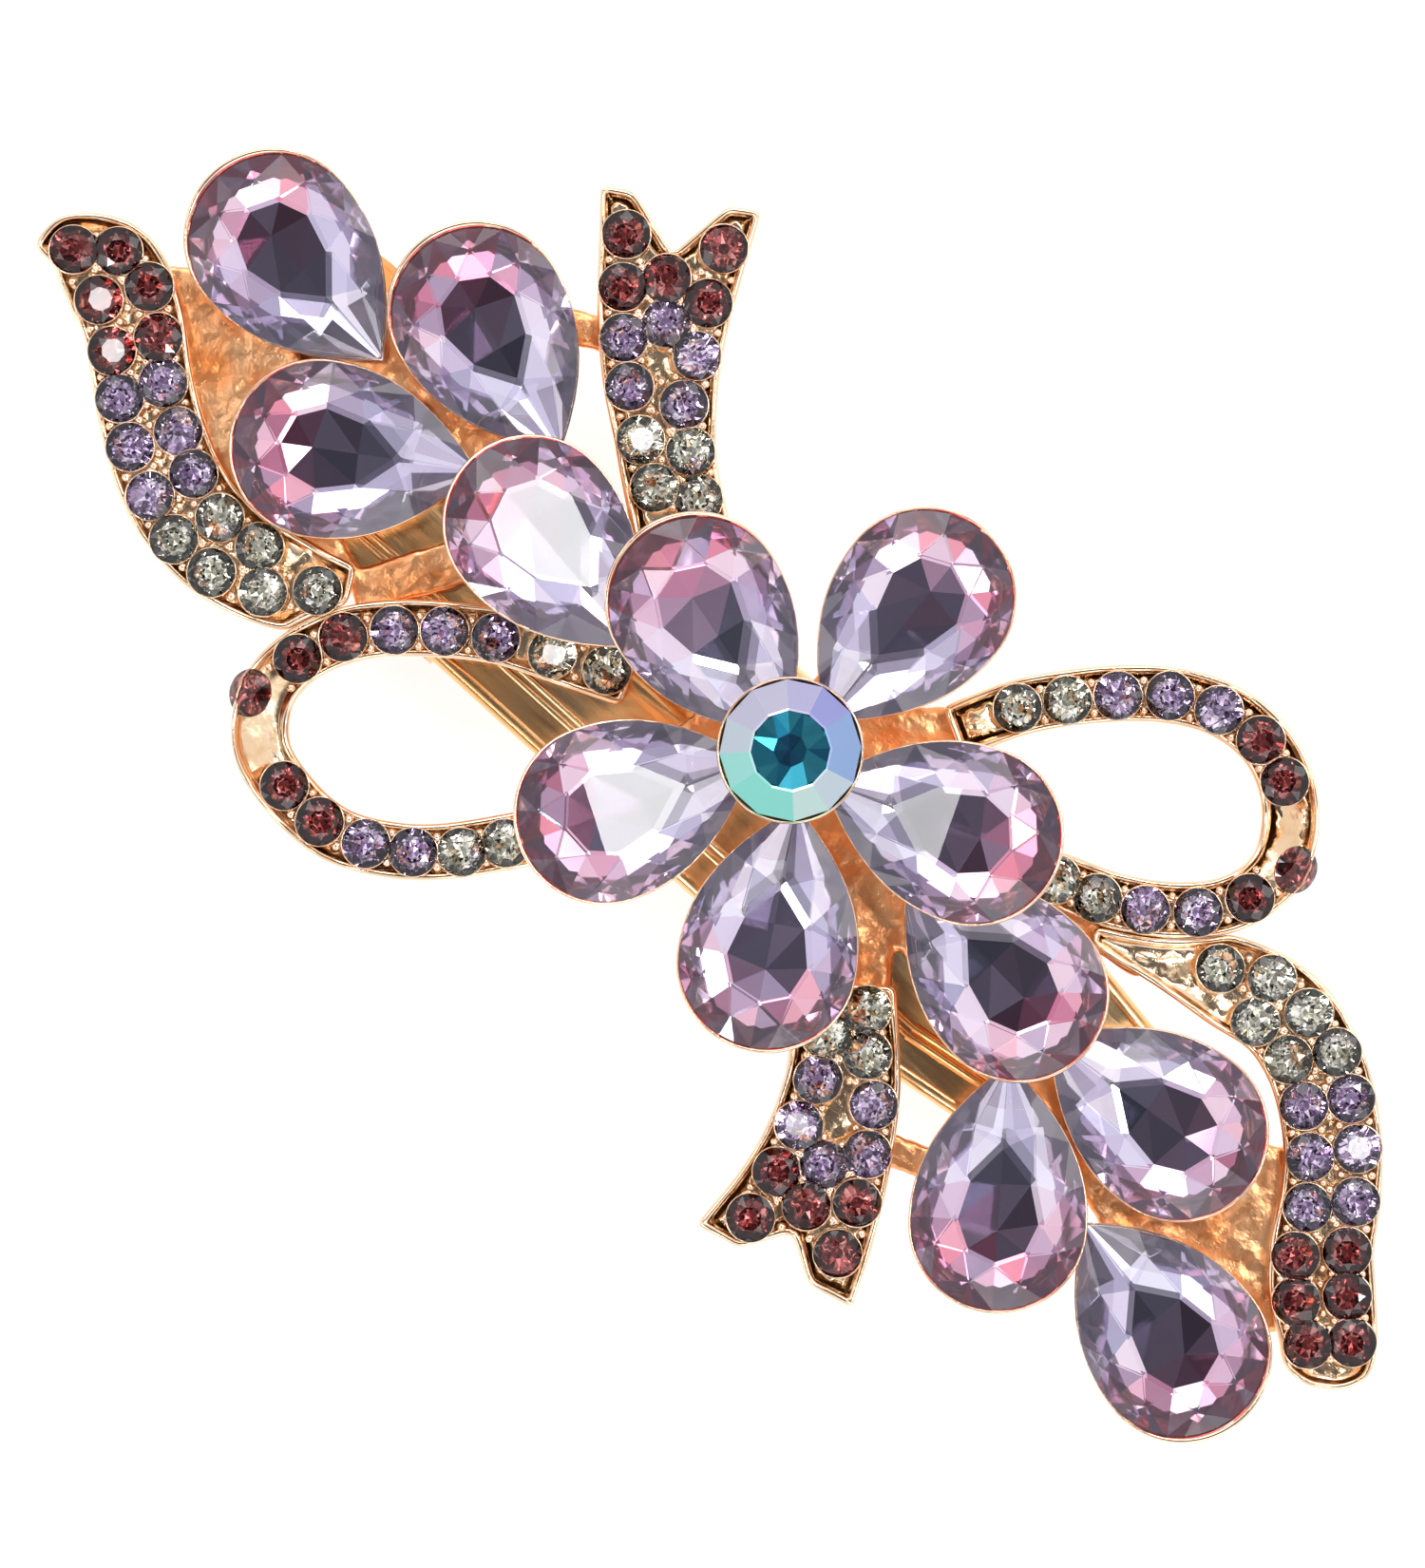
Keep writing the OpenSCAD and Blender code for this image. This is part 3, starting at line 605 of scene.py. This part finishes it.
def outline_of(node):
    """Outline of a ribbon's underside in millimetres, evenly spaced, its corners slightly rounded."""
    mesh = nodes[node].data
    floor_z = min(v.co.z for v in mesh.vertices)
    key = lambda i: tuple(round(c / MM, 3) for c in mesh.vertices[i].co.xy)
    seen = {}
    for p in mesh.polygons:
        if p.normal.z < -0.9 and abs(p.center.z - floor_z) < 1e-6:
            loop = [key(i) for i in p.vertices]
            for a, b in zip(loop, loop[1:] + loop[:1]):
                seen[(a, b)] = seen.get((a, b), 0) + 1
    follow = {b: a for (a, b) in seen if (b, a) not in seen}
    start = min(follow)
    chain = [start]
    while follow[chain[-1]] != start:
        chain.append(follow[chain[-1]])
    points = np.array(chain)
    steps = np.linalg.norm(np.roll(points, -1, 0) - points, axis=1)
    run = np.concatenate([[0], np.cumsum(steps)])
    closed = np.vstack([points, points[:1]])
    count = int(run[-1] / 0.28)
    at = np.arange(count) * run[-1] / count
    even = np.stack([np.interp(at, run, closed[:, i]) for i in (0, 1)], 1)
    for _ in range(3):
        even = (np.roll(even, 1, 0) + 2 * even + np.roll(even, -1, 0)) / 4
    return even


def inward(outline):
    """Inward direction at each outline point and half the room to the far side."""
    ahead = np.roll(outline, -1, 0) - np.roll(outline, 1, 0)
    ahead /= np.linalg.norm(ahead, axis=1)[:, None]
    n = np.stack([-ahead[:, 1], ahead[:, 0]], 1)
    area = np.sum(outline[:, 0] * np.roll(outline[:, 1], -1) - np.roll(outline[:, 0], -1) * outline[:, 1])
    if area < 0:
        n = -n
    a, b = outline, np.roll(outline, -1, 0)
    room = np.full(len(outline), 9.0)
    for i, (p, d) in enumerate(zip(outline, n)):
        e = b - a
        cross = d[0] * e[:, 1] - d[1] * e[:, 0]
        cross[np.abs(cross) < 1e-9] = 1e-9
        q = a - p
        t = (q[:, 0] * e[:, 1] - q[:, 1] * e[:, 0]) / cross
        u = (q[:, 0] * d[1] - q[:, 1] * d[0]) / cross
        hit = t[(u >= 0) & (u <= 1) & (t > 0.05)]
        if len(hit):
            room[i] = hit.min() / 2
    return n, room


def waves(points, size, seed):
    """Smooth hand-made unevenness, -1 to 1, over points in millimetres."""
    local = random.Random(seed)
    total = np.zeros(len(points))
    for _ in range(5):
        a = local.uniform(0, math.tau)
        k = local.uniform(0.6, 1.5) * math.tau / size
        total += np.sin((points[:, 0] * math.cos(a) + points[:, 1] * math.sin(a)) * k + local.uniform(0, math.tau))
    return total / 3


def turn_over(points, ribbon):
    """Banks a loop's stone-free bend so that its inner face shows: the outer edge rises, the inner drops."""
    middle, bearing, _ = BENDS[ribbon]
    rel = points[:, :2] - np.array(middle)
    angle = (np.arctan2(rel[:, 1], rel[:, 0]) - bearing + math.pi) % math.tau - math.pi
    reach = np.hypot(rel[:, 0], rel[:, 1])
    near = np.abs(angle) < 0.75
    centre = np.median(reach[near])
    weight = np.clip(1 - (np.abs(angle) / 0.62) ** 2, 0, 1) ** 1.2
    across = np.clip((reach - centre) / 1.6, -1, 1)
    points[:, 2] += weight * (across * 0.95 - 0.1)


def ribbon_piece(node):
    """Cast ribbon: rounded rims that wander a little, and a rough floor that swells where no stone sits."""
    ribbon = node[len("ribbon_"):]
    low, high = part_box(node)
    bottom, top = low.z / MM, high.z / MM
    floor_z = top - 0.5
    outline = outline_of(node)
    n, room = inward(outline)
    wander = waves(outline, 5.0, 3)
    height = waves(outline, 4.0, 7) * 0.06
    profile = [(0.30, bottom, 0), (0.05, bottom + 0.12, 0), (0.0, bottom + 0.5, 0), (0.0, top - 0.2, 0),
               (0.05, top + 0.02, 1), (0.17, top + 0.12, 1), (0.32, top + 0.10, 1), (0.43, top - 0.06, 1),
               (0.50, floor_z + 0.14, 0), (0.62, floor_z + 0.02, 0)]
    rings = []
    for d, z, lift in profile:
        step = np.minimum(d * (1 + 0.12 * wander), room * 0.92)
        short = np.clip(1 - step / max(d, 1e-6), 0, 1) if d > 0.4 else np.zeros(len(step))
        zs = z + lift * height + short * (top + 0.05 - z)
        rings.append(np.column_stack([outline + n * step[:, None], zs]))
    m = len(outline)
    points = np.vstack(rings)
    faces = [[j * m + i, j * m + (i + 1) % m, (j + 1) * m + (i + 1) % m, (j + 1) * m + i]
             for j in range(len(rings) - 1) for i in range(m)]
    slots = [0] * len(faces)
    inner = rings[-1]
    stones = np.array([s[:2] for s in stones_of(ribbon)])
    grid = []
    for x in np.arange(inner[:, 0].min(), inner[:, 0].max(), 0.4):
        for y in np.arange(inner[:, 1].min(), inner[:, 1].max(), 0.4):
            a, b = inner[:, :2], np.roll(inner[:, :2], -1, 0)
            cross = ((a[:, 1] > y) != (b[:, 1] > y)) & \
                (x < (b[:, 0] - a[:, 0]) * (y - a[:, 1]) / (b[:, 1] - a[:, 1] + 1e-12) + a[:, 0])
            if cross.sum() % 2 and np.min(np.hypot(a[:, 0] - x, a[:, 1] - y)) > 0.25:
                grid.append((x + 0.1 * math.sin(9 * y), y + 0.1 * math.sin(8 * x)))
    flat = [Vector(p) for p in inner[:, :2]] + [Vector(p) for p in grid]
    verts, _, tris, origins, _, _ = delaunay_2d_cdt(flat, [], [list(range(m))], 1, 1e-5)
    plan = np.array([list(v) for v in verts])
    free = np.min(np.hypot(plan[:, None, 0] - stones[None, :, 0], plan[:, None, 1] - stones[None, :, 1]), axis=1)
    swell = np.clip((free - 1.5) / 1.2, 0, 1)
    zs = floor_z + 0.06 * waves(plan, 1.1, 5) + swell * (0.22 + 0.12 * waves(plan, 2.0, 9))
    for i, source in enumerate(origins):
        if source and source[0] < m:
            zs[i] = inner[source[0], 2]
    start = len(points)
    points = np.vstack([points, np.column_stack([plan, zs])])
    faces += [[start + i for i in t] for t in tris]
    slots += [1] * len(tris)
    faces.append(list(range(m))[::-1])
    slots.append(0)
    if ribbon in BENDS:
        turn_over(points, ribbon)
    piece = add_piece("cast_" + node, points.tolist(), faces, [ROSE, FLOOR_GOLD], slots, smooth=True)
    weld = piece.modifiers.new("weld", "WELD")
    weld.merge_threshold = 0.01 * MM
    tidy_normals(piece)
    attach(piece, "ornament")
    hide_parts(node)


def settings_piece(ribbon):
    """Thin bezels round the stones and the grains of metal pressed between them."""
    points, faces = [], []

    def bead(centre, r):
        start = len(points)
        for lift in (-0.6, 0.0, 0.6):
            s = math.sqrt(1 - lift * lift)
            points.extend(round_ring(centre[0], centre[1], r * s, centre[2] + r * lift, 8))
        points.append((centre[0], centre[1], centre[2] + r))
        for j in range(2):
            faces.extend([start + j * 8 + i, start + j * 8 + (i + 1) % 8, start + (j + 1) * 8 + (i + 1) % 8,
                          start + (j + 1) * 8 + i] for i in range(8))
        faces.extend([start + 16 + i, start + 16 + (i + 1) % 8, start + 24] for i in range(8))

    sides = 28
    bezel = ((1.0, -0.5), (1.12, -0.45), (1.16, -0.02), (1.13, 0.05), (1.09, 0.0))
    stones = stones_of(ribbon)
    for x, y, radius, top, _ in stones:
        if ribbon in BENDS and (x, y) == BENDS[ribbon][2]:
            continue
        z = top - 0.52
        start = len(points)
        for share, h in bezel:
            points.extend(round_ring(x, y, radius * share, z + h, sides))
        faces.extend([start + j * sides + i, start + j * sides + (i + 1) % sides,
                      start + (j + 1) * sides + (i + 1) % sides, start + (j + 1) * sides + i]
                     for j in range(len(bezel) - 1) for i in range(sides))
    for i, a in enumerate(stones):
        for b in stones[i + 1:]:
            gap = math.hypot(a[0] - b[0], a[1] - b[1])
            if gap < 3.3:
                mid = ((a[0] + b[0]) / 2, (a[1] + b[1]) / 2)
                side = (-(b[1] - a[1]) / gap, (b[0] - a[0]) / gap)
                for k in (-0.85, 0.85):
                    bead((mid[0] + side[0] * k, mid[1] + side[1] * k, a[3] - 0.62), 0.24 + 0.05 * rng.random())
    piece = add_piece("settings_" + ribbon, points, faces, [ROSE], smooth=True)
    tidy_normals(piece)
    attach(piece, "ornament")


for ribbon in RIBBONS:
    ribbon_piece(ribbon)
    settings_piece(ribbon[len("ribbon_"):])


# ---------------------------------------------------------------- CAD nodes that stay

def cast_stem():
    """The cast frame: its bars run together and its skin is lumpy."""
    piece = nodes["stem"]
    piece.data.materials.clear()
    piece.data.materials.append(CAST)
    skin = piece.modifiers.new("skin", "REMESH")
    skin.mode = "VOXEL"
    skin.voxel_size = 0.22 * MM
    skin.use_smooth_shade = True
    soft = piece.modifiers.new("soft", "SMOOTH")
    soft.factor = 0.5
    soft.iterations = 6
    lumps = bpy.data.textures.new("lumps", "CLOUDS")
    lumps.noise_scale = 1.1 * MM
    rough = piece.modifiers.new("rough", "DISPLACE")
    rough.texture = lumps
    rough.texture_coords = "LOCAL"
    rough.strength = 0.3 * MM
    rough.mid_level = 0.5


def dress(node, material, edge=0.0, smooth_level=0):
    """Gives a CAD node its material and rounds its edges with modifiers; the mesh itself stays."""
    piece = nodes[node]
    piece.data.materials.clear()
    piece.data.materials.append(material)
    piece.data.polygons.foreach_set("use_smooth", [True] * len(piece.data.polygons))
    weld = piece.modifiers.new("weld", "WELD")
    weld.merge_threshold = 1e-6
    if edge:
        bevel = piece.modifiers.new("edge", "BEVEL")
        bevel.width = edge * MM
        bevel.segments = 3
        bevel.limit_method = "ANGLE"
        bevel.angle_limit = math.radians(35)
        bevel.use_clamp_overlap = True
    if smooth_level:
        smooth = piece.modifiers.new("round", "SUBSURF")
        smooth.levels = smooth.render_levels = smooth_level
    normals = piece.modifiers.new("normals", "WEIGHTED_NORMAL")
    normals.keep_sharp = False


cast_stem()
dress("clip_top_plate", PLATE, edge=0.12)
dress("clip_jaw", PLATE, edge=0.12)
dress("hinge_pin", PIN, edge=0.1)
dress("torsion_spring", SPRING, smooth_level=1)
dress("spring_leg", SPRING, smooth_level=1)


def plate_rolls():
    """Rolled edges and drawn lines that run along the top plate."""
    low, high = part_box("clip_top_plate")
    half = (high.y - low.y) / 2 / MM
    y0 = (high.y + low.y) / 2 / MM
    straight, tapered, taper, rib = 58.7, 80, 0.155, 0.42
    start, stop, end = low.x / MM + half, low.x / MM + straight, low.x / MM + tapered
    flat_z = high.z / MM - rib
    points, faces = [], []
    # Each line's inset from the edge, radius and lift.
    lines = [(0.35, 0.6, -0.4), (2.25, 0.32, 0.14), (2.8, 0.32, 0.14)]
    for side in (-1, 1):
        for inset, r, lift in lines:
            path = [(start, half - inset), (stop, half - inset), (end, half - inset - (end - stop) * taper)]
            first = len(points)
            for x, y in path:
                points += [(x, y0 + side * y + r * math.cos(k * math.pi / 6),
                            flat_z + lift + r * 0.8 * math.sin(k * math.pi / 6)) for k in range(7)]
            faces += [[first + j * 7 + k, first + j * 7 + k + 1, first + j * 7 + k + 8, first + j * 7 + k + 7]
                      for j in range(2) for k in range(6)]
    piece = add_piece("plate_rolls", points, faces, [PLATE], smooth=True)
    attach(piece, "ornament")


plate_rolls()


# ---------------------------------------------------------------- studio

def floor():
    """White paper under the clip."""
    mat, tree, shader = new_material("paper_floor")
    link(tree, ramp(tree, noise(tree, 0.02), [(0.3, (0.50, 0.50, 0.50)), (0.7, (0.52, 0.52, 0.52))]),
         shader.inputs["Base Color"])
    shader.inputs["Roughness"].default_value = 0.9
    shader.inputs["Emission Color"].default_value = (1, 1, 1, 1)
    shader.inputs["Emission Strength"].default_value = 0.68
    size = 900
    sheet = add_piece("floor", [(-size, -size, 0), (size, -size, 0), (size, size, 0), (-size, size, 0)],
                      [[0, 1, 2, 3]], [mat])
    sheet.location.z = -0.0002


def area_light(name, place, size, radiance, colour=(1, 1, 1)):
    """A soft box that faces the clip. Radiance is relative to the white of the picture."""
    data = bpy.data.lights.new(name, "AREA")
    data.shape = "RECTANGLE"
    data.size, data.size_y = size
    data.energy = radiance * math.pi * size[0] * size[1]
    data.color = colour
    lamp = bpy.data.objects.new(name, data)
    bpy.context.scene.collection.objects.link(lamp)
    lamp.location = place
    lamp.rotation_euler = (-Vector(place)).to_track_quat("-Z", "Y").to_euler()


def world():
    """Pale all round, and dark straight overhead, where the camera would stand."""
    sky = bpy.data.worlds.new("studio")
    bpy.context.scene.world = sky
    sky.use_nodes = True
    tree = sky.node_tree
    back = tree.nodes["Background"]
    place = tree.nodes.new("ShaderNodeTexCoord")
    parts = tree.nodes.new("ShaderNodeSeparateXYZ")
    link(tree, place.outputs["Generated"], parts.inputs["Vector"])
    tone = ramp(tree, parts.outputs["Z"], [
        (0.0, (0.5, 0.5, 0.52)), (0.3, (1.0, 1.0, 1.02)), (0.6, (0.9, 0.9, 0.94)),
        (0.86, (0.95, 0.95, 0.98)), (0.93, (0.14, 0.14, 0.16)), (1.0, (0.07, 0.07, 0.08))])
    link(tree, tone, back.inputs["Color"])
    back.inputs["Strength"].default_value = 1.0


def camera():
    """Straight above, turned as the picture shows the clip, with a long lens."""
    turn = math.radians(VIEW_TURN)
    right = Vector((math.cos(turn), math.sin(turn), 0))
    up = Vector((-math.sin(turn), math.cos(turn), 0))
    flower = sum((Vector(c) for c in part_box("centre_crystal")), Vector()) / 2
    aim = flower + Vector((-1.96, -4.35, 0)) * MM
    aim.z = STEM_TOP + 3 * MM
    distance, view_height = 0.48, 0.0892
    data = bpy.data.cameras.new("camera")
    data.sensor_width = 36
    data.lens = 36 * distance / view_height
    data.clip_start, data.clip_end = 0.01, 10
    cam = bpy.data.objects.new("camera", data)
    bpy.context.scene.collection.objects.link(cam)
    cam.matrix_world = Matrix((right, up, Vector((0, 0, 1)))).transposed().to_4x4()
    cam.location = aim + Vector((0, 0, distance))
    bpy.context.scene.camera = cam


floor()
world()
area_light("key", (-0.38, 0.34, 0.50), (0.40, 0.30), 2.6)
area_light("fill", (0.50, -0.28, 0.42), (0.35, 0.35), 1.8)
area_light("back", (0.12, 0.62, 0.30), (0.50, 0.15), 2.2)
area_light("low", (-0.32, -0.52, 0.26), (0.45, 0.12), 1.8)
area_light("spark_1", (-0.20, 0.42, 0.62), (0.06, 0.06), 26)
area_light("spark_2", (0.44, 0.16, 0.50), (0.06, 0.06), 22)
area_light("spark_3", (0.06, -0.50, 0.52), (0.06, 0.06), 22)
area_light("table_glow_1", (0.0855, 0.148, 0.47), (0.08, 0.08), 15)
area_light("table_glow_2", (-0.142, -0.060, 0.4755), (0.06, 0.06), 9)
camera()
bpy.context.scene.view_settings.view_transform = "Standard"
